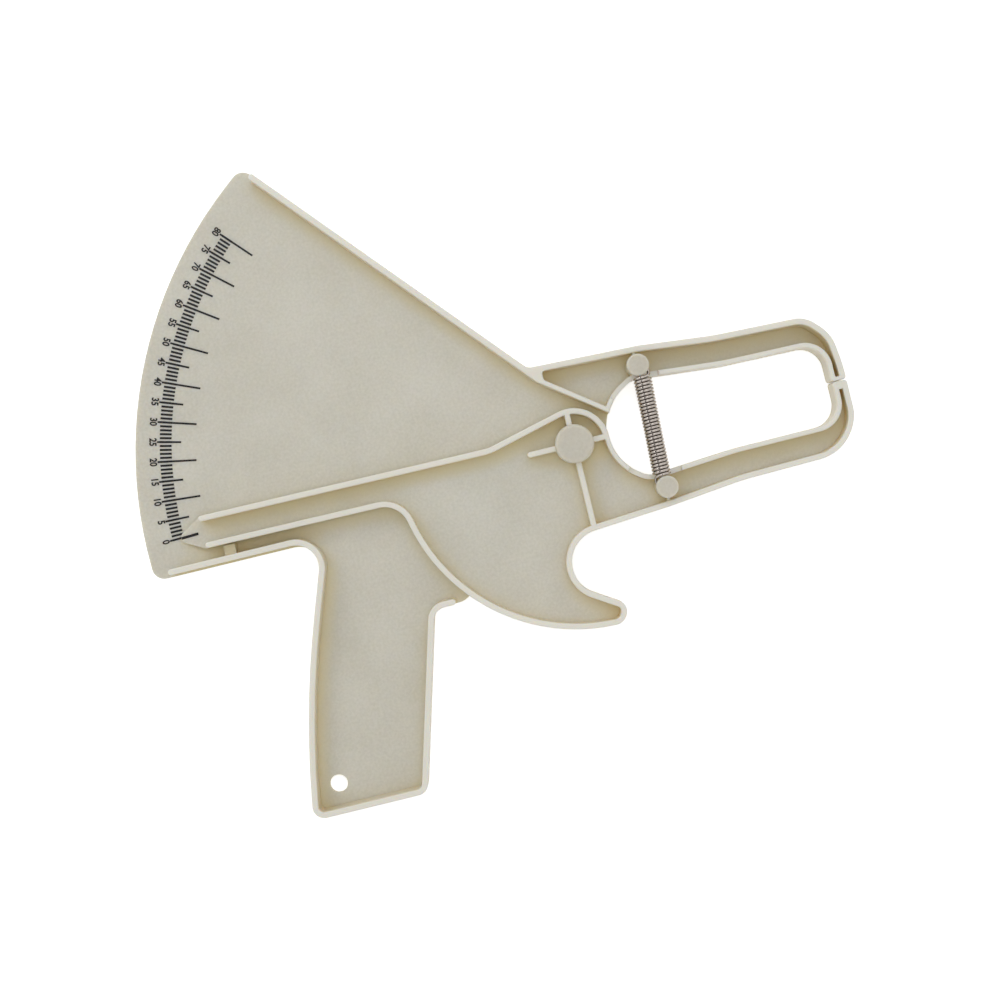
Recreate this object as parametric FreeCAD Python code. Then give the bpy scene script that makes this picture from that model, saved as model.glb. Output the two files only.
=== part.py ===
import FreeCAD, Part
import math
import os

from FreeCAD import Vector

# A moulded skinfold caliper, in millimetres. The origin is on the back face, under the hub and in the
# plane where the jaws close. +X runs to the jaw tips, +Y towards the fixed jaw and +Z out of the side
# with the scale.

# Layers, from the back face forwards
web = 2.0                     # thickness of the floor, in the frame and in the lever
rim_height = 12.0             # top of every rib
layer_gap = 0.6               # air between the frame's floor and the lever
rim_round = 0.55              # rounding along the top of the ribs
lever_floor = web + layer_gap
lever_top = lever_floor + web

# Rib widths
frame_rib = 2.4
window_rib = 1.95             # fixed jaw, beside the window
diagonal_rib = 1.85
lever_rib = 2.3
lever_window_rib = 1.9
spoke_rib = 2.2
gusset_rib = 1.1
tip_wall = 1.6                # closes the fixed jaw's trough at its tip
lever_tip_wall = 3.2

# Pivot
pivot = (-0.5, 0.4)
post_radius = 4.5
running_clearance = 0.05      # radial, between the frame's post and the lever's boss
boss_wall = 2.95
boss_radius = post_radius + running_clearance + boss_wall
seat_wall = 2.5               # how far the frame's seat ring reaches out from the post
seat_clearance = 0.1          # between the seat ring and the back of the lever
cap_overhang = 0.1            # how far the cap reaches past the boss
cap_radius = boss_radius + cap_overhang
cap_thickness = 2.9
cap_edge = 1.2                # rounding round the top of the cap
post_rise = 2.1               # height of the post above the ribs
post_top = rim_height + post_rise
boss_clearance = 0.2          # between the top of the lever's boss and the cap
stem_radius = 2.2
stem_depth = 5.5

# What the two jaws share; the lever's jaw lies on the -Y side
tip_outer = 109.05
tip_inner = tip_outer - 5.95  # the window's end, on the fixed jaw
tip_gap = 0.3                 # between the closed tips
tip_edge = 1.2
window_end = (15.7, 9.0)
hub_radius = 14.1             # outside of the lever's hub, about the pivot, where it meets the window
window_radius = 19.7          # the window's round end
window_centre = (pivot[0] + hub_radius + window_radius, 0.0)
window_side = 8.0             # rounding where the round end meets the window's side

# Fixed jaw
jaw_root = (-11.2, 33.65)     # the fan's top edge meets the jaw here
jaw_root_round = 4.0
jaw_shoulder = [(tip_outer, 6.0, 60.0), (tip_outer - 1.6, 18.7, 15.0), (tip_outer - 10.1, 27.5, 11.2)]
jaw_outer = [(62.0, 28.9, 80.0), (33.0, 32.0, 60.0)]
jaw_window = [(28.0, 19.7), (64.0, 16.45, 60.0)]
trough_start = -6.1           # left end of the trough
trough_round = 1.2
pocket_round = 0.4            # corners of the trough at the tip

# Moving jaw
lever_tip_inner = tip_outer - 5.65
lever_shoulder = [(tip_outer, 14.8, 15.0), (tip_outer - 6.8, 28.0, 18.0)]
lever_outer = [(60.0, 29.0, 80.0), (31.0, 32.15, 60.0)]
lever_window = [(25.5, 18.65), (60.0, 16.05, 60.0)]
deep_start = 15.5             # from here outwards the moving jaw reaches down to the back face

# Fan that carries the scale
fan_centre = (-3.9, -1.1)
fan_radius = 170.7
fan_turn = (128.6, 182.0)     # the round edge's two ends, in degrees from +X
fan_slope = -48.85            # direction of the top edge, in degrees
fan_bottom = -13.05
fan_corner = 5.0
ledge = 0.9                   # bare floor outside the bottom rib
bottom_rib_start = 5.1 - fan_radius
diagonal_slope = -36.8        # the rib that carries on from the top edge to the window
diagonal_end = (14.2, 11.3)
top_rib_gap = 6.6             # from the fan's top corner to the end of the rib along its top edge
top_rib_round = 1.0

# Handle
handle_back = [(-105.4, 8.5), (-127.3, -74.8, 400.0)]
handle_base = -118.85
handle_base_x = (-134.6, -88.5)
handle_corner = 4.7
handle_front = (-68.9, -49.7, 5.0)
handle_shelf = -57.2          # end of the floor in front of the handle
shelf_corner = 6.5
shelf_rib_end = -61.3
hole_centre = (-122.5, -108.1)
hole_radius = 3.5

# Stop for the pointer arm
stop_x = (26.8 - fan_radius, 31.3 - fan_radius)
stop_top = 8.0
stop_clearance = 0.5

# Pointer arm
arm_angle = 179.5             # direction from the pivot to the pointer, in degrees
arm_half = 6.5
pointer_tip = (fan_radius - 8.5, -0.5, 2.4)    # how far out and up its sides would meet, and its rounding
shoulders = (pointer_tip[0] - 11.6, pointer_tip[0] - 11.0)    # how far out the upper and the lower one are
shoulder_rounds = (1.2, 3.0)
rib_starts = (shoulders[0] - 1.3, shoulders[1] - 2.4)
arm_bend = (33.7, 14.0)       # how far out the upper rib starts to rise, and its rounding

# Trigger
trigger_radius = 72.3
trigger_turn = (192.0, 268.0)
trigger_shoulder = 10.0       # rounding where the arm's lower rib turns into the trigger's edge
finger_centre = (0.2, -47.1)
finger_radius = 12.7
finger_exit = -32.4           # direction of the lower side of the finger cut, in degrees
hook_x = 4.3
hook_rounds = (5.3, 4.1)

# Spokes from the lever's boss
spoke_free_end = -18.2        # the one that ends in the open floor

# Return spring, its two posts and their buttons
anchor = (30.55, 24.35)       # the post on the fixed jaw; the moving jaw's is its mirror image
anchor_radius = 2.3           # where the spring's eye goes round
anchor_base_radius = 3.9
anchor_base_top = rim_height + 0.6
anchor_top = rim_height + 2.9
anchor_stem_radius = 1.3
anchor_stem_depth = 3.5
wire = 1.2
coil_outer = 7.4
button_overhang = 0.65        # how far the button reaches past the eye
button_radius = coil_outer / 2 + button_overhang
button_thickness = 2.7
button_edge = 0.7
coil_gap = 0.4                # between each end of the coil and the button there
coil_half = anchor[1] - button_radius - coil_gap
coil_turns = 14.75            # in each half; the quarter puts their joint under the coil
coil_start = 90.0             # the wire's angle about the axis at that joint, in degrees
coil_lean = 2.2               # the coil leans from one side of its posts to the other, in degrees
eye_turn = 300.0              # how far round its post each eye goes, in degrees
eye_clearance = 0.35          # between the eye and the button above it
wire_height = anchor_top - eye_clearance - wire / 2
notch_turn = 136.7            # the ribs beside the window are low from this angle on its round end
notch_end = 38.1              # to here, to clear the spring
notch_clearance = 0.2         # between the coil and the floor of the cut
notch_floor = wire_height - coil_outer / 2 - notch_clearance
notch_reach = 26.0            # how far out from the round end's middle the slanted side of the cut starts

past = 1.0                    # how far a cutter runs past the face it opens


def polar(radius, angle, centre=(0.0, 0.0)):
    turn = math.radians(angle)
    return centre[0] + radius * math.cos(turn), centre[1] + radius * math.sin(turn)


def round_about(centre, radius, start, end):
    """The corner whose rounding is the arc about centre from one angle to the other."""
    half = (end - start) / 2
    return (*polar(radius / math.cos(math.radians(half)), start + half, centre), radius)


def touch(point, centre, radius, side):
    """The angle at which a line from point touches a circle."""
    x, y = point[0] - centre[0], point[1] - centre[1]
    return math.degrees(math.atan2(y, x) + side * math.acos(radius / math.hypot(x, y)))


def meeting(point, angle, centre, radius):
    """The angle about a circle's centre at which a line first meets the circle."""
    along = polar(1, angle)
    x, y = point[0] - centre[0], point[1] - centre[1]
    across = x * along[1] - y * along[0]
    reach = -(x * along[0] + y * along[1]) - math.sqrt(radius**2 - across**2)
    return math.degrees(math.atan2(y + reach * along[1], x + reach * along[0]))


def crossing(p, angle_p, q, angle_q):
    """Where two lines meet, each a point and a direction in degrees."""
    ax, ay = polar(1, angle_p)
    bx, by = polar(1, angle_q)
    along = ((q[0] - p[0]) * by - (q[1] - p[1]) * bx) / (ax * by - ay * bx)
    return p[0] + along * ax, p[1] + along * ay


def mirrored(corners):
    return [(corner[0], -corner[1], *corner[2:]) for corner in reversed(corners)]


def radius_of(corner):
    return corner[2] if len(corner) > 2 else 0.0


def path_edges(corners, closed):
    """Straight runs joined by tangent arcs, through corners of x, y and a radius."""
    count = len(corners)
    points = [Vector(corner[0], corner[1], 0) for corner in corners]
    pieces = []
    for i, here in enumerate(points):
        radius = radius_of(corners[i])
        if radius <= 0 or (not closed and i in (0, count - 1)):
            pieces.append((here, here, None))
            continue
        before = (points[i - 1] - here).normalize()
        after = (points[(i + 1) % count] - here).normalize()
        half = before.getAngle(after) / 2
        reach = radius / math.tan(half)
        start, end = here + before * reach, here + after * reach
        middle = here + (before + after).normalize() * (radius / math.sin(half) - radius)
        pieces.append((start, end, Part.Arc(start, middle, end).toShape()))
    edges = []
    for i, (_, end, arc) in enumerate(pieces):
        if arc:
            edges.append(arc)
        if i == count - 1 and not closed:
            break
        following = pieces[(i + 1) % count][0]
        if end.distanceToPoint(following) > 1e-3:
            edges.append(Part.makeLine(end, following))
    return edges


def shifted(corners, walls):
    """An open path moved to its left: by one distance, or by one for each run."""
    runs = len(corners) - 1
    if isinstance(walls, float):
        walls = [walls] * runs
    lines = []
    for i in range(runs):
        start = Vector(corners[i][0], corners[i][1], 0)
        along = (Vector(corners[i + 1][0], corners[i + 1][1], 0) - start).normalize()
        side = Vector(-along.y, along.x, 0) * walls[i]
        lines.append((start + side, along))
    moved = [(lines[0][0].x, lines[0][0].y)]
    for i in range(1, runs):
        (p, u), (q, v) = lines[i - 1], lines[i]
        cross = u.x * v.y - u.y * v.x
        reach = ((q.x - p.x) * v.y - (q.y - p.y) * v.x) / cross
        radius = radius_of(corners[i])
        if radius:
            radius -= (walls[i - 1] + walls[i]) / 2 * math.copysign(1, cross)
        moved.append((p.x + reach * u.x, p.y + reach * u.y, max(radius, 0.0)))
    last, along = lines[-1]
    reach = (Vector(corners[-1][0], corners[-1][1], 0) - last).dot(along)
    end = last + along * reach
    return moved + [(end.x, end.y)]


def face(corners):
    return Part.Face(Part.Wire(path_edges(corners, True)))


def strip(corners, width):
    """A rib seen from the front: a band along an open path, with round ends."""
    half = width / 2
    sides = [path_edges(shifted(corners, side), False) for side in (half, -half)]
    ends = []
    for here, towards in ((corners[0], corners[1]), (corners[-1], corners[-2])):
        point = Vector(here[0], here[1], 0)
        out = (point - Vector(towards[0], towards[1], 0)).normalize() * half
        across = Vector(-out.y, out.x, 0)
        ends.append(Part.Arc(point + across, point + out, point - across).toShape())
    return Part.Face(Part.Wire(Part.__sortEdges__(sides[0] + sides[1] + ends)))


def prism(flat, low, high):
    solid = flat.extrude(Vector(0, 0, high - low))
    solid.translate(Vector(0, 0, low))
    return solid


def cylinder(radius, low, high, at=(0.0, 0.0)):
    return Part.makeCylinder(radius, high - low, Vector(at[0], at[1], low))


def block(x, y, z):
    return Part.makeBox(x[1] - x[0], y[1] - y[0], z[1] - z[0], Vector(x[0], y[0], z[0]))


def joined(shapes):
    return shapes[0].multiFuse(shapes[1:]).removeSplitter()


def level_edges(solid, height):
    def offset(edge):
        return abs(edge.BoundBox.ZMin - height) + abs(edge.BoundBox.ZMax - height)
    return [edge for edge in solid.Edges if offset(edge) < 1e-4]


def jaw_outside(shoulder, outer):
    """The outside of a jaw on the +Y side, from its tip to beside the spring."""
    return [(tip_outer, tip_gap / 2, tip_edge), *shoulder, *outer]


def jaw_inside(window, inner, start):
    """The window's side of a jaw on the +Y side, from an angle on the round end to the tip."""
    end = touch(window[0], window_centre, window_radius, 1)
    return [
        round_about(window_centre, window_radius, start, end),
        (*window[0], window_side),
        window[1],
        (inner, *window_end),
        (inner, tip_gap / 2, tip_edge),
    ]


def fan_corners():
    top_point = polar(fan_radius, fan_turn[0], fan_centre)
    low_point = polar(fan_radius, fan_turn[1], fan_centre)
    top = crossing(jaw_root, fan_slope, top_point, fan_turn[0] + 90)
    low = crossing((0.0, fan_bottom), 0.0, low_point, fan_turn[1] + 90)
    return [(*top, fan_corner), round_about(fan_centre, fan_radius, *fan_turn), (*low, fan_corner)]


def handle_corners():
    return [
        (handle_back[0][0], fan_bottom, handle_back[0][1]),
        handle_back[1],
        (handle_base_x[0], handle_base, handle_corner),
        (handle_base_x[1], handle_base, handle_corner),
        handle_front,
    ]


def frame_outline():
    shelf = (handle_shelf, handle_front[1], shelf_corner)
    hub = round_about(pivot, hub_radius, touch(shelf, pivot, hub_radius, 1), 0.0)
    return (
        jaw_outside(jaw_shoulder, jaw_outer)
        + [(*jaw_root, jaw_root_round)]
        + fan_corners()
        + handle_corners()
        + [shelf, hub]
        + jaw_inside(jaw_window, tip_inner, 180.0)
    )


def jaw_block():
    """The fixed jaw and the fan's top rib in one outline, and the jaw's trough."""
    half = diagonal_rib / 2
    low_edge, high_edge = (polar(side * half, diagonal_slope + 90, diagonal_end) for side in (-1, 1))
    top_end = polar(top_rib_gap, fan_slope, fan_corners()[0])
    inner_end = polar(frame_rib, fan_slope - 90, top_end)
    kink = crossing(inner_end, fan_slope, low_edge, diagonal_slope)
    low_turn = meeting(low_edge, diagonal_slope, window_centre, window_radius)
    outside = jaw_outside(jaw_shoulder, jaw_outer) + [(*jaw_root, jaw_root_round)]
    outline = outside + [
        (*top_end, top_rib_round),
        (*inner_end, top_rib_round),
        kink,
        polar(window_radius, low_turn, window_centre),
    ]
    outline += jaw_inside(jaw_window, tip_inner, low_turn)
    high_turn = meeting(high_edge, diagonal_slope, window_centre, window_radius + window_rib)
    outer = shifted(outside, frame_rib)
    window_start = polar(window_radius, high_turn, window_centre)
    window = shifted([window_start] + jaw_inside(jaw_window, tip_inner, high_turn), window_rib)
    outer_rise = (outer[-1][0] - outer[-2][0], outer[-1][1] - outer[-2][1])
    outer_slope = math.degrees(math.atan2(outer_rise[1], outer_rise[0]))
    upper = crossing(outer[-2], outer_slope, (trough_start, 0.0), 90)
    lower = crossing(high_edge, diagonal_slope, (trough_start, 0.0), 90)
    bottom = tip_gap / 2 + tip_wall
    trough = [(outer[0][0], bottom, pocket_round), *outer[1:-1]]
    trough += [(*upper, trough_round), (*lower, trough_round)]
    trough += [window[0], *window[1:-1], (window[-1][0], bottom, pocket_round)]
    return prism(face(outline), 0, rim_height).cut(prism(face(trough), web, rim_height + past))


def base_rib():
    half = frame_rib / 2
    base = [(bottom_rib_start, fan_bottom), *handle_corners(), (shelf_rib_end, handle_front[1])]
    base = shifted(base, [ledge + half] + [half] * (len(base) - 2))
    return prism(strip(base, frame_rib), 0, rim_height)


def anchor_post(side, floor, rib_y):
    """A spring post, thick below the spring's eye, and the small rib that props it."""
    at = (anchor[0], side * anchor[1])
    prop = strip([at, (at[0], side * rib_y)], gusset_rib)
    base = cylinder(anchor_base_radius, floor, anchor_base_top, at)
    return [base, cylinder(anchor_radius, floor, anchor_top, at), prism(prop, floor, notch_floor)]


def anchor_socket(side):
    low = anchor_top - anchor_stem_depth
    return cylinder(anchor_stem_radius, low, anchor_top + past, (anchor[0], side * anchor[1]))


def notch(side):
    """Room for the spring above the ribs beside the window."""
    near = polar(window_radius - past, notch_turn, window_centre)
    far = polar(notch_reach, notch_turn, window_centre)
    corners = [near, (notch_end, near[1]), (notch_end, anchor[1]), (far[0], anchor[1]), far]
    return prism(face(corners if side > 0 else mirrored(corners)), notch_floor, rim_height + past)


def make_frame():
    outline = face(frame_outline())
    ribs = jaw_block().cut(notch(1))
    anchored = anchor_post(1, 0, jaw_outer[1][1] - frame_rib / 2)
    arm_low = arm_point(-stop_x[0], -arm_half)[1] - stop_clearance
    stop = block(stop_x, (fan_bottom + ledge + frame_rib / 2, arm_low), (0, stop_top))
    seat = cylinder(post_radius + seat_wall, 0, lever_floor - seat_clearance, pivot)
    post = cylinder(post_radius, 0, post_top, pivot)
    frame = joined([prism(outline, 0, web), ribs, base_rib(), seat, post, stop, *anchored])
    frame = frame.makeFillet(rim_round, level_edges(frame, rim_height))
    frame = frame.cut(cylinder(hole_radius, -past, web + past, hole_centre))
    frame = frame.cut(cylinder(stem_radius, post_top - stem_depth, post_top + past, pivot))
    return frame.cut(anchor_socket(1))


def arm_point(reach, up):
    """A point on the pointer arm: how far from the pivot, and how far above its middle line."""
    along, across = polar(reach, arm_angle), polar(up, arm_angle - 90)
    return along[0] + across[0], along[1] + across[1]


def hub_corner():
    bend = arm_point(arm_bend[0], arm_half)
    return round_about(pivot, hub_radius, 0.0, touch(bend, pivot, hub_radius, -1))


def trigger_corners():
    """From the arm's lower edge round the trigger and the finger cut."""
    start = polar(trigger_radius, trigger_turn[0])
    end = polar(trigger_radius, trigger_turn[1])
    arm = crossing(arm_point(shoulders[1], -arm_half), arm_angle, start, trigger_turn[0] + 90)
    exit_turn = 270 + finger_exit
    entry_turn = touch((lever_outer[1][0], -lever_outer[1][1]), finger_centre, finger_radius, 1)
    leave = polar(finger_radius, exit_turn, finger_centre)
    return [
        (*arm, trigger_shoulder),
        round_about((0.0, 0.0), trigger_radius, *trigger_turn),
        (*crossing(end, trigger_turn[1] + 90, (hook_x, 0.0), 90), hook_rounds[0]),
        (*crossing(leave, finger_exit, (hook_x, 0.0), 90), hook_rounds[1]),
        round_about(finger_centre, finger_radius, exit_turn, entry_turn),
    ]


def lever_outline():
    return (
        mirrored(jaw_outside(lever_shoulder, lever_outer))
        + mirrored(jaw_inside(lever_window, lever_tip_inner, 180.0))
        + [hub_corner()]
        + [(*arm_point(arm_bend[0], arm_half), arm_bend[1])]
        + [(*arm_point(shoulders[0], arm_half), shoulder_rounds[0])]
        + [(*arm_point(*pointer_tip[:2]), pointer_tip[2])]
        + [(*arm_point(shoulders[1], -arm_half), shoulder_rounds[1])]
        + trigger_corners()
    )


def lever_ribs(low):
    start = arm_point(rib_starts[1], -arm_half)
    outside = [start] + trigger_corners() + mirrored(jaw_outside(lever_shoulder, lever_outer))
    hub_side = polar(hub_radius, 0.0, pivot)
    window = mirrored(jaw_inside(lever_window, lever_tip_inner, 180.0)) + [hub_side]
    arm = [hub_side, hub_corner(), (*arm_point(arm_bend[0], arm_half), arm_bend[1])]
    arm.append(arm_point(rib_starts[0], arm_half))
    closed = -tip_gap / 2
    tip = block((lever_tip_inner, tip_outer), (closed - lever_tip_wall, closed), (low, rim_height))
    ribs = [
        strip(shifted(outside, lever_rib / 2), lever_rib),
        strip(shifted(window, lever_window_rib / 2), lever_window_rib),
        strip(shifted(arm, lever_rib / 2), lever_rib),
    ]
    return [prism(rib, low, rim_height) for rib in ribs] + [tip]


def spokes():
    x, y = pivot
    hub = hub_radius - lever_rib / 2
    runs = [
        [(x, y), (x, y + hub)],
        [(x, y), (x + hub, y)],
        [(x, y), (spoke_free_end, y)],
        [(x, y), (x, -lever_outer[1][1] - lever_rib / 2)],
    ]
    return [prism(strip(run, spoke_rib), lever_floor, rim_height) for run in runs]


def make_lever():
    outline = face(lever_outline())
    shallow = joined(lever_ribs(lever_floor)).common(prism(outline, 0, rim_height))
    deep = joined(lever_ribs(0)).common(prism(outline, 0, rim_height))
    deep = deep.common(block((deep_start, tip_outer + past), (-jaw_root[1] - past, past), (0, rim_height)))
    anchored = anchor_post(-1, lever_floor, lever_outer[1][1] - lever_rib / 2)
    ribs = joined([shallow, deep]).cut(notch(-1))
    lever = joined([prism(outline, lever_floor, lever_top), ribs, *spokes(), *anchored])
    lever = lever.makeFillet(rim_round, level_edges(lever, rim_height))
    lever = lever.fuse(cylinder(boss_radius, lever_floor, post_top - boss_clearance, pivot))
    bore = cylinder(post_radius + running_clearance, lever_floor - past, post_top, pivot)
    return lever.cut(bore).cut(anchor_socket(-1))


def plug(radius, thickness, edge, seat, stem, depth, at):
    """A flat round cap whose stem presses into a post."""
    head = cylinder(radius, seat, seat + thickness, at)
    head = head.makeFillet(edge, level_edges(head, seat + thickness))
    return head.fuse(cylinder(stem, seat - depth, seat, at)).removeSplitter()


def spring_half(side):
    """Half of the coil, the wire that leads from it to the post, and the eye round the post."""
    mean = (coil_outer - wire) / 2
    helix = Part.makeHelix(coil_half / coil_turns, coil_half, mean)
    profile = Part.Wire(Part.makeCircle(wire / 2, Vector(mean, 0, 0), Vector(0, 1, 0)))
    coil = Part.Solid(Part.Wire(helix).makePipeShell([profile], True, True))
    coil.rotate(Vector(), Vector(0, 0, 1), coil_start)
    coil.rotate(Vector(), Vector(1, 0, 0), -90)
    coil.rotate(Vector(), Vector(0, 0, 1), -coil_lean)
    leave = Vector(*polar(mean, -coil_lean, polar(coil_half, 90 - coil_lean)))
    enter = Vector(mean, anchor[1])
    neck = Part.makeCylinder(wire / 2, (enter - leave).Length, leave, enter - leave)
    ring = Part.Wire(Part.makeCircle(mean, Vector(), Vector(0, 0, 1), 0, eye_turn))
    end = Part.Wire(Part.makeCircle(wire / 2, Vector(mean, 0, 0), Vector(0, 1, 0)))
    eye = Part.Solid(ring.makePipeShell([end], True, True))
    eye.translate(Vector(0, anchor[1], 0))
    half = coil
    for piece in (Part.makeSphere(wire / 2, leave), neck, Part.makeSphere(wire / 2, enter), eye):
        half = half.fuse(piece)
    if side < 0:
        half.rotate(Vector(), Vector(0, 0, 1), 180)
    half.translate(Vector(anchor[0], 0, wire_height))
    return half


def main():
    os.makedirs("parts", exist_ok=True)
    stem = (anchor_stem_radius, anchor_stem_depth)
    button = (button_radius, button_thickness, button_edge, anchor_top, *stem)
    parts = {
        "frame": make_frame(),
        "lever": make_lever(),
        "pivot_cap": plug(cap_radius, cap_thickness, cap_edge, post_top, stem_radius, stem_depth, pivot),
        "upper_spring_button": plug(*button, anchor),
        "lower_spring_button": plug(*button, (anchor[0], -anchor[1])),
        "spring_fixed_half": spring_half(1),
        "spring_moving_half": spring_half(-1),
    }
    for name, shape in parts.items():
        print(name, shape.ShapeType, len(shape.Solids), shape.isValid(), round(shape.Volume, 1))
        shape.exportStep(f"parts/{name}.step")


main()
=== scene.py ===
import math

import bpy
from mathutils import Matrix, Vector


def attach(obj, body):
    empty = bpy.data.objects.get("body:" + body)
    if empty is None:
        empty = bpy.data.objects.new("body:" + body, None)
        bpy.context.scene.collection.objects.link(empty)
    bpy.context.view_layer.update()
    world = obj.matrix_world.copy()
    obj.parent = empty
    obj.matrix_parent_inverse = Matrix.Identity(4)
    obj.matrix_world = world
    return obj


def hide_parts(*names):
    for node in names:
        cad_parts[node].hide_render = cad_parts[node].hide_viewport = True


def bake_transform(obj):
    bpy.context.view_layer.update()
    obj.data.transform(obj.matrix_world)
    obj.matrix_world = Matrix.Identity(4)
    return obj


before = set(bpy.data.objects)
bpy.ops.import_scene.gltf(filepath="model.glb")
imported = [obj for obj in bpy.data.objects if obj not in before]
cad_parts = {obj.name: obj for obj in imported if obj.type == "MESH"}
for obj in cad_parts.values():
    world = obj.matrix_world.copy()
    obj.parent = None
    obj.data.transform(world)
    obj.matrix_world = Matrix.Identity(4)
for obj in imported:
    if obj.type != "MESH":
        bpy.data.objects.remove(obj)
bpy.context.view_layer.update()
print("frame loaded:", sorted(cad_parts))

mm = 0.001
viewTurn = math.radians(13.7)  # how far the camera is turned about the line straight down
imageRight = Vector((math.cos(viewTurn), -math.sin(viewTurn), 0))
imageUp = Vector((math.sin(viewTurn), math.cos(viewTurn), 0))


def toLinear(hexColour):
    channels = [int(hexColour[i:i + 2], 16) / 255 for i in (1, 3, 5)]
    return [c / 12.92 if c <= 0.04045 else ((c + 0.055) / 1.055) ** 2.4 for c in channels] + [1.0]


def addNode(tree, kind, settings, links=()):
    node = tree.nodes.new(kind)
    for name, value in settings.items():
        if isinstance(name, int) or name in node.inputs:
            node.inputs[name].default_value = value
        else:
            setattr(node, name, value)
    for name, source in links:
        tree.links.new(source, node.inputs[name])
    return node


def newMaterial(name):
    material = bpy.data.materials.new(name)
    material.use_nodes = True
    material.node_tree.nodes.clear()
    return material, material.node_tree


opennessSamples = 8  # rays cast from each spot to find how closed in it is

# Moulded ABS: a satin, slightly warm ivory with a fine grain and a faint cloudiness under the gloss
bodyAbs = {
    "name": "mouldedIvoryAbs",
    "tones": ((0.35, "#d2cec0"), (0.65, "#dedace")),
    "mottleShare": 0.6,          # of the mottle in the tone, the rest is cloud
    "cloudSize": 22.0,           # mm, slow drift of the tone
    "mottleSize": 1.1,           # mm
    "mottleSpan": (0.3, 0.7),    # the part of the mottle's range that the roughness follows
    "roughness": (0.36, 0.48),
    "grainSize": 0.45,           # mm, coarser than such a surface's own grain, so that it shows
    "grainDepth": 0.012,         # mm
    "grainStrength": 0.5,
    "paintedTopLight": "#e8e5db",         # painted highlight: paler rib tops, standing in for the light the ribs catch, which draw each rib as a light line
    "paintedTopLightFrom": 9.6,           # mm above the back face
    "paintedTopLightFade": 0.5,           # mm over which the pale top sets in
    "corner": "#e2d4ab",         # painted shade: warm tan along the foot of each wall
    "cornerReach": 8.0,          # mm
    "cornerFade": (0.25, 0.85),  # openness at which the tan is full, and at which it is gone
    "cornerTop": (1.5, 0.5),     # mm below the pale tops, between which the tan ends
    "cornerSide": imageRight * 0.35 - imageUp * 0.6,  # side of each wall with more painted shade, the side away from the lamps
    "wallShadeTint": 0.35,            # painted shade: upright faces are warmer than the floors
    "wallFade": (0.2, 0.8),      # how level a face is where the wall tint begins to go, and where it is gone
    "ior": 1.54,
    "softness": 0.7,             # share of the diffuse light that travels inside, which softens shadows
    "softDepth": 4.0,            # mm
    "softColour": (1.0, 0.78, 0.5),
}
capAbs = dict(bodyAbs, name="mouldedIvoryAbsCaps", tones=((0.35, "#ccc7b9"), (0.65, "#d5d1c4")),
              paintedTopLightFrom=18.5, cornerReach=1.5, wallShadeTint=0.0)


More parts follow.
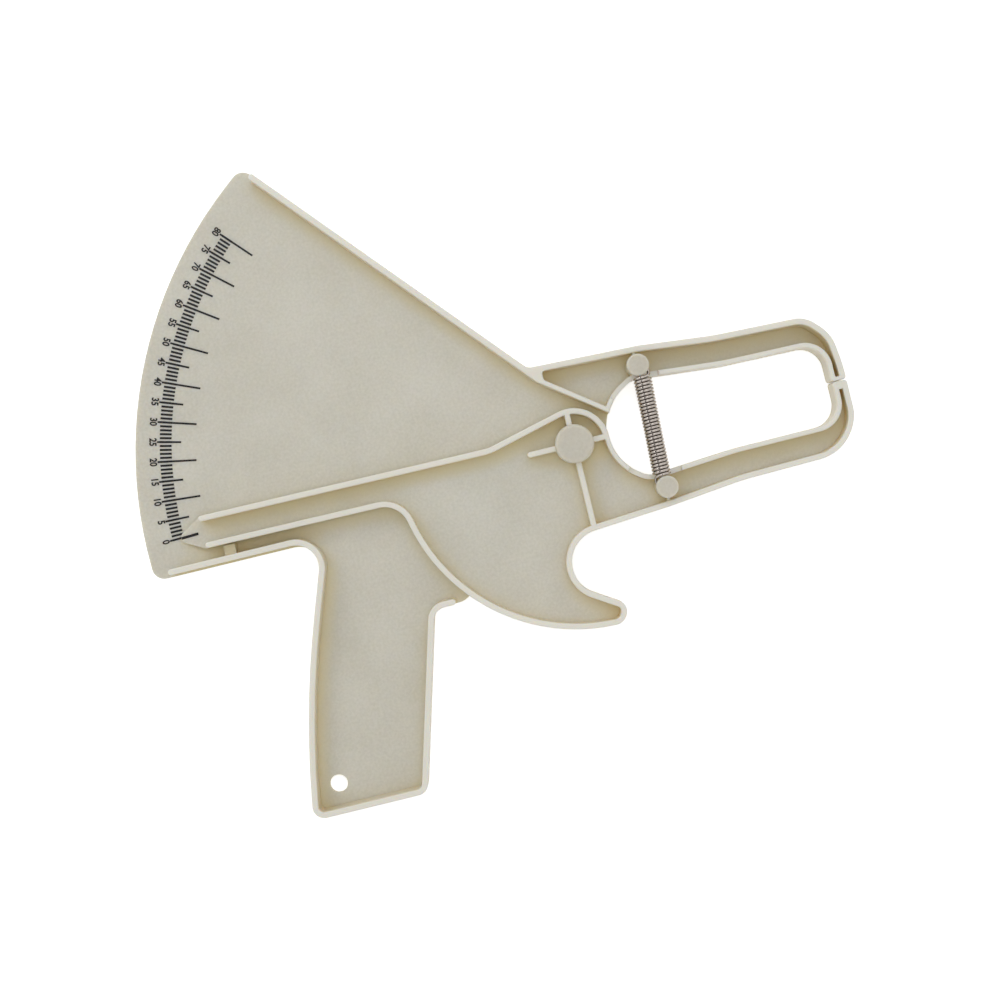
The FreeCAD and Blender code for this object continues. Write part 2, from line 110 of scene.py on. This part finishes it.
def mouldedAbs(look):
    material, tree = newMaterial(look["name"])
    place = addNode(tree, "ShaderNodeTexCoord", {})
    cloud = addNode(tree, "ShaderNodeTexNoise", {"Scale": 1 / (look["cloudSize"] * mm), "Detail": 2.0},
                    [("Vector", place.outputs["Object"])])
    mottle = addNode(tree, "ShaderNodeTexNoise", {"Scale": 1 / (look["mottleSize"] * mm), "Detail": 3.0},
                     [("Vector", place.outputs["Object"])])
    grain = addNode(tree, "ShaderNodeTexNoise", {"Scale": 1 / (look["grainSize"] * mm), "Detail": 2.0},
                    [("Vector", place.outputs["Object"])])
    tone = addNode(tree, "ShaderNodeMix", {"Factor": look["mottleShare"]},
                   [("A", cloud.outputs["Fac"]), ("B", mottle.outputs["Fac"])])
    ramp = addNode(tree, "ShaderNodeValToRGB", {}, [("Fac", tone.outputs["Result"])])
    for stop, (position, colour) in zip(ramp.color_ramp.elements, look["tones"]):
        stop.position, stop.color = position, toLinear(colour)

    # painted highlight: pale rib tops
    height = addNode(tree, "ShaderNodeSeparateXYZ", {}, [("Vector", place.outputs["Object"])])
    paintedTopLightFrom = look["paintedTopLightFrom"] * mm
    paintedTopMask = addNode(tree, "ShaderNodeMapRange",
                      {"From Min": paintedTopLightFrom, "From Max": paintedTopLightFrom + look["paintedTopLightFade"] * mm},
                      [("Value", height.outputs["Z"])])
    withPaintedTop = addNode(tree, "ShaderNodeMix", {"data_type": "RGBA", 7: toLinear(look["paintedTopLight"])},
                   [(0, paintedTopMask.outputs["Result"]), (6, ramp.outputs["Color"])])

    # painted shade: tan beside the walls, more on one side of them, in directions that turn with the piece
    surface = addNode(tree, "ShaderNodeNewGeometry", {})
    side = addNode(tree, "ShaderNodeVectorTransform",
                   {"vector_type": "VECTOR", "convert_from": "OBJECT", "convert_to": "WORLD",
                    "Vector": look["cornerSide"]})
    sideways = addNode(tree, "ShaderNodeVectorMath", {"operation": "SUBTRACT"},
                       [(0, surface.outputs["Normal"]), (1, side.outputs["Vector"])])
    outward = addNode(tree, "ShaderNodeVectorMath", {"operation": "NORMALIZE"}, [(0, sideways.outputs["Vector"])])
    openness = addNode(tree, "ShaderNodeAmbientOcclusion",
                       {"Distance": look["cornerReach"] * mm, "samples": opennessSamples},
                       [("Normal", outward.outputs["Vector"])])
    cornerFull, cornerGone = look["cornerFade"]
    corner = addNode(tree, "ShaderNodeMapRange",
                     {"From Min": cornerFull, "From Max": cornerGone, "To Min": 1.0, "To Max": 0.0},
                     [("Value", openness.outputs["AO"])])
    endsFrom, endsAt = look["cornerTop"]
    below = addNode(tree, "ShaderNodeMapRange",
                    {"From Min": paintedTopLightFrom - endsFrom * mm, "From Max": paintedTopLightFrom - endsAt * mm,
                     "To Min": 1.0, "To Max": 0.0},
                    [("Value", height.outputs["Z"])])
    foot = addNode(tree, "ShaderNodeMath", {"operation": "MULTIPLY"},
                   [(0, corner.outputs["Result"]), (1, below.outputs["Result"])])

    # painted shade: warmer walls
    facing = addNode(tree, "ShaderNodeSeparateXYZ", {}, [("Vector", place.outputs["Normal"])])
    level = addNode(tree, "ShaderNodeMath", {"operation": "ABSOLUTE"}, [(0, facing.outputs["Z"])])
    wallFull, wallGone = look["wallFade"]
    wall = addNode(tree, "ShaderNodeMapRange",
                   {"From Min": wallFull, "From Max": wallGone, "To Min": look["wallShadeTint"], "To Max": 0.0},
                   [("Value", level.outputs["Value"])])
    tan = addNode(tree, "ShaderNodeMath", {"operation": "MAXIMUM"},
                  [(0, foot.outputs["Value"]), (1, wall.outputs["Result"])])
    tinted = addNode(tree, "ShaderNodeMix", {"data_type": "RGBA", 7: toLinear(look["corner"])},
                     [(0, tan.outputs["Value"]), (6, withPaintedTop.outputs[2])])

    # satin gloss and grain
    mottleLow, mottleHigh = look["mottleSpan"]
    glossiest, dullest = look["roughness"]
    satin = addNode(tree, "ShaderNodeMapRange",
                    {"From Min": mottleLow, "From Max": mottleHigh, "To Min": glossiest, "To Max": dullest},
                    [("Value", mottle.outputs["Fac"])])
    bump = addNode(tree, "ShaderNodeBump",
                   {"Strength": look["grainStrength"], "Distance": look["grainDepth"] * mm},
                   [("Height", grain.outputs["Fac"])])
    shader = addNode(tree, "ShaderNodeBsdfPrincipled",
                     {"IOR": look["ior"], "Subsurface Weight": look["softness"],
                      "Subsurface Scale": look["softDepth"] * mm, "Subsurface Radius": look["softColour"]},
                     [("Base Color", tinted.outputs[2]), ("Roughness", satin.outputs["Result"]),
                      ("Normal", bump.outputs["Normal"])])
    addNode(tree, "ShaderNodeOutputMaterial", {}, [("Surface", shader.outputs["BSDF"])])
    return material


# Pad-printed ink: a thin satin black film, a little uneven in density
padInk = {
    "name": "blackPadPrintInk",
    "tones": ((0.35, "#0b0a0b"), (0.7, "#1b191a")),
    "patchSize": 0.7,            # mm
    "ior": 1.5,
    "roughness": 0.42,
}


def padPrintInk(look):
    material, tree = newMaterial(look["name"])
    place = addNode(tree, "ShaderNodeTexCoord", {})
    patch = addNode(tree, "ShaderNodeTexNoise", {"Scale": 1 / (look["patchSize"] * mm), "Detail": 2.0},
                    [("Vector", place.outputs["Object"])])
    ramp = addNode(tree, "ShaderNodeValToRGB", {}, [("Fac", patch.outputs["Fac"])])
    for stop, (position, colour) in zip(ramp.color_ramp.elements, look["tones"]):
        stop.position, stop.color = position, toLinear(colour)
    shader = addNode(tree, "ShaderNodeBsdfPrincipled", {"IOR": look["ior"], "Roughness": look["roughness"]},
                     [("Base Color", ramp.outputs["Color"])])
    addNode(tree, "ShaderNodeOutputMaterial", {}, [("Surface", shader.outputs["BSDF"])])
    return material


# Drawn spring steel, not plated: bright on the crown of the wire, with brown-grey drawing marks and painted shade
# between the turns
wireSteel = {
    "name": "drawnSpringSteel",
    "tones": ((0.35, "#a39a92"), (0.65, "#c8c0b9")),
    "markSize": 0.5,             # mm
    "roughness": (0.12, 0.24),
    "gapShade": "#5a4e42",            # painted shade: darkens the wire between the turns
    "gapShadeReach": 0.8,             # mm
    "gapShadeFade": (0.3, 0.8),       # openness at which the painted shade is full, and at which it is gone
}


def drawnSteel(look):
    material, tree = newMaterial(look["name"])
    place = addNode(tree, "ShaderNodeTexCoord", {})
    marks = addNode(tree, "ShaderNodeTexNoise", {"Scale": 1 / (look["markSize"] * mm), "Detail": 3.0},
                    [("Vector", place.outputs["Object"])])
    ramp = addNode(tree, "ShaderNodeValToRGB", {}, [("Fac", marks.outputs["Fac"])])
    for stop, (position, colour) in zip(ramp.color_ramp.elements, look["tones"]):
        stop.position, stop.color = position, toLinear(colour)
    glossiest, dullest = look["roughness"]
    satin = addNode(tree, "ShaderNodeMapRange", {"To Min": glossiest, "To Max": dullest},
                    [("Value", marks.outputs["Fac"])])
    # painted shade between the turns, by how closed in each spot is
    openness = addNode(tree, "ShaderNodeAmbientOcclusion",
                       {"Distance": look["gapShadeReach"] * mm, "samples": opennessSamples})
    gapShadeFull, gapShadeGone = look["gapShadeFade"]
    gapShadeMask = addNode(tree, "ShaderNodeMapRange",
                  {"From Min": gapShadeFull, "From Max": gapShadeGone, "To Min": 1.0, "To Max": 0.0},
                  [("Value", openness.outputs["AO"])])
    gapShaded = addNode(tree, "ShaderNodeMix", {"data_type": "RGBA", 7: toLinear(look["gapShade"])},
                    [(0, gapShadeMask.outputs["Result"]), (6, ramp.outputs["Color"])])
    shader = addNode(tree, "ShaderNodeBsdfPrincipled", {"Metallic": 1.0},
                     [("Base Color", gapShaded.outputs[2]), ("Roughness", satin.outputs["Result"])])
    addNode(tree, "ShaderNodeOutputMaterial", {}, [("Surface", shader.outputs["BSDF"])])
    return material


absMaterial = mouldedAbs(bodyAbs)
capMaterial = mouldedAbs(capAbs)
inkMaterial = padPrintInk(padInk)
steelMaterial = drawnSteel(wireSteel)
print("materials made")

finishes = {"frame": absMaterial, "lever": absMaterial, "pivot_cap": capMaterial,
            "upper_spring_button": capMaterial, "lower_spring_button": capMaterial,
            "spring_fixed_half": steelMaterial, "spring_moving_half": steelMaterial}
for nodeName, material in finishes.items():
    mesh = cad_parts[nodeName].data
    mesh.materials.clear()
    mesh.materials.append(material)
print("CAD pieces finished")


def meshPiece(name, points, faces, material):
    mesh = bpy.data.meshes.new(name)
    mesh.from_pydata([Vector(p) * mm for p in points], [], faces)
    mesh.materials.append(material)
    mesh.update()
    piece = bpy.data.objects.new(name, mesh)
    bpy.context.scene.collection.objects.link(piece)
    return piece


# The printed scale on the floor of the fan, read at the pointer's tip; sizes in mm
scalePrint = {
    "centre": Vector((-15.2, 4.9)),
    "zeroTurn": 181.45,          # degrees from +X to the zero line
    "turnPerMm": 0.6085,         # degrees of arc from each line to the next
    "last": 80,
    "tickReach": (143.9, 148.6),
    "tickWidth": 0.84,
    "fiveReach": (140.1, 149.7),
    "tenReach": (134.2, 149.7),
    "longWidth": 0.75,           # of the long lines that mark fives and tens
    "longDrop": 0.005,           # they lie this much lower than the ticks, so that no two faces are level
    "numeralRadius": 151.3,
    "numeralHeight": 2.95,
    "numeralSqueeze": 0.84,      # digits are set a little narrower than they are drawn
    "numeralBold": 0.03,         # strokes are thickened by this share of the size they are drawn at
    "floor": 2.0,
    "sunk": 0.02,                # the ink's foot, below the floor
    "film": 0.03,                # the ink's top, above the floor
}


def flatBar(start, end, width, low, high):
    along = (end - start).normalized()
    side = Vector((-along.y, along.x)) * width / 2
    ring = [start - side, end - side, end + side, start + side]
    points = [(p.x, p.y, low) for p in ring] + [(p.x, p.y, high) for p in ring]
    faces = [(3, 2, 1, 0), (4, 5, 6, 7)] + [(i, (i + 1) % 4, (i + 1) % 4 + 4, i + 4) for i in range(4)]
    return points, faces


def bars(name, lines, material):
    points, faces = [], []
    for bar in lines:
        barPoints, barFaces = flatBar(*bar)
        faces += [tuple(i + len(points) for i in face) for face in barFaces]
        points += barPoints
    return meshPiece(name, points, faces, material)


def scaleDirection(value):
    turn = math.radians(scalePrint["zeroTurn"] - scalePrint["turnPerMm"] * value)
    return Vector((math.cos(turn), math.sin(turn)))


def scaleTicks():
    s = scalePrint
    low, high = s["floor"] - s["sunk"], s["floor"] + s["film"]
    lines = []
    for value in range(s["last"] + 1):
        out = scaleDirection(value)
        tickIn, tickOut = (s["centre"] + out * r for r in s["tickReach"])
        lines.append((tickIn, tickOut, s["tickWidth"], low, high))
        if value % 5 == 0:
            reach = s["tenReach"] if value % 10 == 0 else s["fiveReach"]
            longIn, longOut = (s["centre"] + out * r for r in reach)
            lines.append((longIn, longOut, s["longWidth"], low, high - s["longDrop"]))
    return bars("scaleTicks", lines, inkMaterial)


def numeralMesh(value):
    text = bpy.data.curves.new(f"numeral{value}", "FONT")
    text.body = str(value)
    text.align_x, text.align_y = "CENTER", "CENTER"
    text.size = 1.0
    text.extrude = 0.01  # only tells top from foot, which scaleNumerals puts at the ink's heights
    text.offset = scalePrint["numeralBold"]
    holder = bpy.data.objects.new(f"numeral{value}", text)
    bpy.context.scene.collection.objects.link(holder)
    bpy.context.view_layer.update()
    mesh = bpy.data.meshes.new_from_object(holder)
    bpy.data.objects.remove(holder)
    return mesh


def scaleNumerals():
    s = scalePrint
    points, faces = [], []
    for value in range(0, s["last"] + 1, 5):
        mesh = numeralMesh(value)
        xs, ys = zip(*[v.co.xy for v in mesh.vertices])
        tall = s["numeralHeight"] / (max(ys) - min(ys))
        middle = Vector(((max(xs) + min(xs)) / 2, (max(ys) + min(ys)) / 2))
        out = scaleDirection(value)
        top, along = -out, Vector((-out.y, out.x))
        home = s["centre"] + out * s["numeralRadius"]
        first = len(points)
        for v in mesh.vertices:
            flat = home + along * (v.co.x - middle.x) * tall * s["numeralSqueeze"]
            flat += top * (v.co.y - middle.y) * tall
            points.append((flat.x, flat.y, s["floor"] + (s["film"] if v.co.z > 0 else -s["sunk"])))
        faces += [tuple(i + first for i in p.vertices) for p in mesh.polygons]
        bpy.data.meshes.remove(mesh)
    return meshPiece("scaleNumerals", points, faces, inkMaterial)


# The reading line on the lever's pointer; sizes in mm
indexLine = {
    "outer": Vector((-159.7, 1.0)),
    "inner": Vector((-152.8, 1.28)),
    "width": 1.05,
    "floor": 4.6,
}


def pointerLine():
    low, high = indexLine["floor"] - scalePrint["sunk"], indexLine["floor"] + scalePrint["film"]
    line = (indexLine["outer"], indexLine["inner"], indexLine["width"], low, high)
    return bars("pointerLine", [line], inkMaterial)


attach(scaleTicks(), "frame_body")
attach(scaleNumerals(), "frame_body")
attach(pointerLine(), "lever_body")
print("scale printed")

# The return spring: one wire, from the eye round the upper post to the eye round the lower one; sizes in mm
returnSpring = {
    "axis": (30.55, 13.95),      # x and z of the coil's middle
    "post": 24.35,               # from the middle of the coil to each post
    "coilEnd": 19.6,             # from the middle of the coil to its last turn
    "turns": 29.5,
    "mean": 3.1,                 # radius of the middle of the wire, in the coil and in the eyes
    "wire": 0.6,                 # radius
    "lean": 2.2,                 # degrees that the coil is turned against the line between the posts
    "eyeTurn": 300.0,            # degrees round the post
    "stepsPerTurn": 24,
    "neckSteps": 8,              # from the coil to the eye
    "sides": 10,
    "easing": 14,                # passes that round the bend between coil and neck
    "easingReach": 5,            # steps to each side of the bend
}


def springLine():
    s = returnSpring
    x, z = s["axis"]
    leaned = Matrix.Rotation(-math.radians(s["lean"]), 3, "Z")
    half = int(s["turns"] / 2 * s["stepsPerTurn"])
    coil = []
    for i in range(half + 1):
        turn = math.pi / 2 + 2 * math.pi * i / s["stepsPerTurn"]
        around = Vector((s["mean"] * math.cos(turn), s["coilEnd"] * i / half, -s["mean"] * math.sin(turn)))
        coil.append(leaned @ around)
    enter = Vector((s["mean"], s["post"], 0))
    neck = [coil[-1].lerp(enter, i / s["neckSteps"]) for i in range(1, s["neckSteps"])]
    eyeSteps = int(s["stepsPerTurn"] * s["eyeTurn"] / 360)
    eye = []
    for i in range(eyeSteps + 1):
        turn = math.radians(s["eyeTurn"] * i / eyeSteps)
        eye.append(Vector((s["mean"] * math.cos(turn), s["post"] + s["mean"] * math.sin(turn), 0)))
    upper = coil + neck + eye
    bend = len(coil) - 1
    span = range(bend - s["easingReach"], bend + s["easingReach"] + 1)
    for _ in range(s["easing"]):
        eased = {i: (upper[i - 1] + upper[i] * 2 + upper[i + 1]) / 4 for i in span}
        for i in span:
            upper[i] = eased[i]
    lower = [Vector((-p.x, -p.y, p.z)) for p in upper[1:]]
    return [p + Vector((x, 0, z)) for p in list(reversed(upper)) + lower]


def tube(name, line, radius, sides, material):
    points, faces = [], []
    firstAcross = Vector((0.3, 0.2, 1))  # any direction that the wire doesn't start along
    normal = (line[1] - line[0]).cross(firstAcross).normalized()
    for i, p in enumerate(line):
        along = (line[min(i + 1, len(line) - 1)] - line[max(i - 1, 0)]).normalized()
        normal = (normal - along * normal.dot(along)).normalized()
        other = along.cross(normal)
        for k in range(sides):
            turn = 2 * math.pi * k / sides
            points.append(p + (normal * math.cos(turn) + other * math.sin(turn)) * radius)
    for i in range(len(line) - 1):
        for k in range(sides):
            n = (k + 1) % sides
            faces.append((i * sides + k, i * sides + n, (i + 1) * sides + n, (i + 1) * sides + k))
    faces.append(tuple(range(sides - 1, -1, -1)))
    faces.append(tuple(range(len(points) - sides, len(points))))
    piece = meshPiece(name, points, faces, material)
    for polygon in piece.data.polygons[:-2]:  # all but the wire's two cut ends
        polygon.use_smooth = True
    return piece


spring = tube("returnSpring", springLine(), returnSpring["wire"], returnSpring["sides"], steelMaterial)
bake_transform(spring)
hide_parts("spring_fixed_half", "spring_moving_half")
print("spring wound")

# Camera straight above the table; place in metres
view = {"place": (-0.0353, -0.01163, 0.7), "lens": 63.985, "sensor": 36.0, "clip": (0.01, 20.0)}
camera = bpy.data.objects.new("camera", bpy.data.cameras.new("camera"))
bpy.context.scene.collection.objects.link(camera)
camera.location = view["place"]
camera.rotation_euler = (0, 0, -viewTurn)
camera.data.lens = view["lens"]
camera.data.sensor_width = view["sensor"]
camera.data.clip_start, camera.data.clip_end = view["clip"]
bpy.context.scene.camera = camera

# White table
table = {
    "size": 6.0,                 # m
    "low": -0.05,                # mm, just under the back face, so that no two faces are level
    "colour": "#f4f4f4",
    "lift": 0.6,                 # glow that takes the table up to white where it is seen
}


def seenRays(tree):  # 1 for rays from the camera, and for those that metal mirrors or glass lets through
    ray = addNode(tree, "ShaderNodeLightPath", {})
    mirrored = addNode(tree, "ShaderNodeMath", {"operation": "MAXIMUM"},
                       [(0, ray.outputs["Is Glossy Ray"]), (1, ray.outputs["Is Transmission Ray"])])
    seen = addNode(tree, "ShaderNodeMath", {"operation": "MAXIMUM"},
                   [(0, ray.outputs["Is Camera Ray"]), (1, mirrored.outputs["Value"])])
    return seen.outputs["Value"]


def whiteTable():
    material, tree = newMaterial("mattWhiteBackdrop")
    matt = addNode(tree, "ShaderNodeBsdfDiffuse", {"Color": toLinear(table["colour"])})
    glow = addNode(tree, "ShaderNodeMath", {"operation": "MULTIPLY", 1: table["lift"]}, [(0, seenRays(tree))])
    lift = addNode(tree, "ShaderNodeEmission", {}, [("Strength", glow.outputs["Value"])])
    both = addNode(tree, "ShaderNodeAddShader", {}, [(0, matt.outputs["BSDF"]), (1, lift.outputs["Emission"])])
    addNode(tree, "ShaderNodeOutputMaterial", {}, [("Surface", both.outputs["Shader"])])
    half, low = table["size"] / mm / 2, table["low"]
    corners = [(-half, -half, low), (half, -half, low), (half, half, low), (-half, half, low)]
    return meshPiece("table", corners, [(0, 1, 2, 3)], material)


whiteTable()
print("table laid")

# Soft studio light: a pale room, and soft boxes to the left, beyond the far edge and above; metres and watts
softBoxes = {
    "leftBox": {"place": imageRight * -1.13 + imageUp * 0.79 + Vector((0, 0, 1.16)), "size": 0.6,
                "power": 3.4, "mirrored": True},
    "farBox": {"place": imageUp * 0.9 + Vector((0, 0, 1.56)), "size": 0.6, "power": 2.0, "mirrored": True},
    "topBox": {"place": Vector((0, 0, 1.8)), "size": 0.7, "power": 3.1, "mirrored": False},
}
darkCard = {"width": 0.36, "length": 2.4, "up": 0.95, "shift": -0.42, "shade": 0.01}
roomGlow = {"onPieces": 0.6, "seen": 1.0}


def softBox(name, look):
    data = bpy.data.lights.new(name, "AREA")
    data.shape, data.size, data.size_y, data.energy = "RECTANGLE", look["size"], look["size"], look["power"]
    box = bpy.data.objects.new(name, data)
    bpy.context.scene.collection.objects.link(box)
    box.location = look["place"]
    box.rotation_euler = (-look["place"]).to_track_quat("-Z", "Y").to_euler()
    box.visible_glossy = look["mirrored"]


def blackCard():  # seen in reflections only, where it gives the wire a dark line along its crown
    width, length, up = (darkCard[side] / mm for side in ("width", "length", "up"))
    left = darkCard["shift"] / mm - width / 2
    corners = [(left, -length / 2, up), (left + width, -length / 2, up),
               (left + width, length / 2, up), (left, length / 2, up)]
    material, tree = newMaterial("blackCard")
    black = addNode(tree, "ShaderNodeBsdfDiffuse", {"Color": [darkCard["shade"]] * 3 + [1.0]})
    addNode(tree, "ShaderNodeOutputMaterial", {}, [("Surface", black.outputs["BSDF"])])
    card = meshPiece("blackCard", corners, [(0, 3, 2, 1)], material)
    card.visible_camera = card.visible_diffuse = card.visible_shadow = False
    return card


blackCard()
for boxName, look in softBoxes.items():
    softBox(boxName, look)

room = bpy.data.worlds.new("room")
bpy.context.scene.world = room
room.use_nodes = True
room.node_tree.nodes.clear()
glow = addNode(room.node_tree, "ShaderNodeMapRange", {"To Min": roomGlow["onPieces"], "To Max": roomGlow["seen"]},
               [("Value", seenRays(room.node_tree))])
air = addNode(room.node_tree, "ShaderNodeBackground", {"Color": toLinear("#ffffff")},
              [("Strength", glow.outputs["Result"])])
addNode(room.node_tree, "ShaderNodeOutputWorld", {}, [("Surface", air.outputs["Background"])])
bpy.context.scene.view_settings.view_transform = "Standard"
print("studio lit")
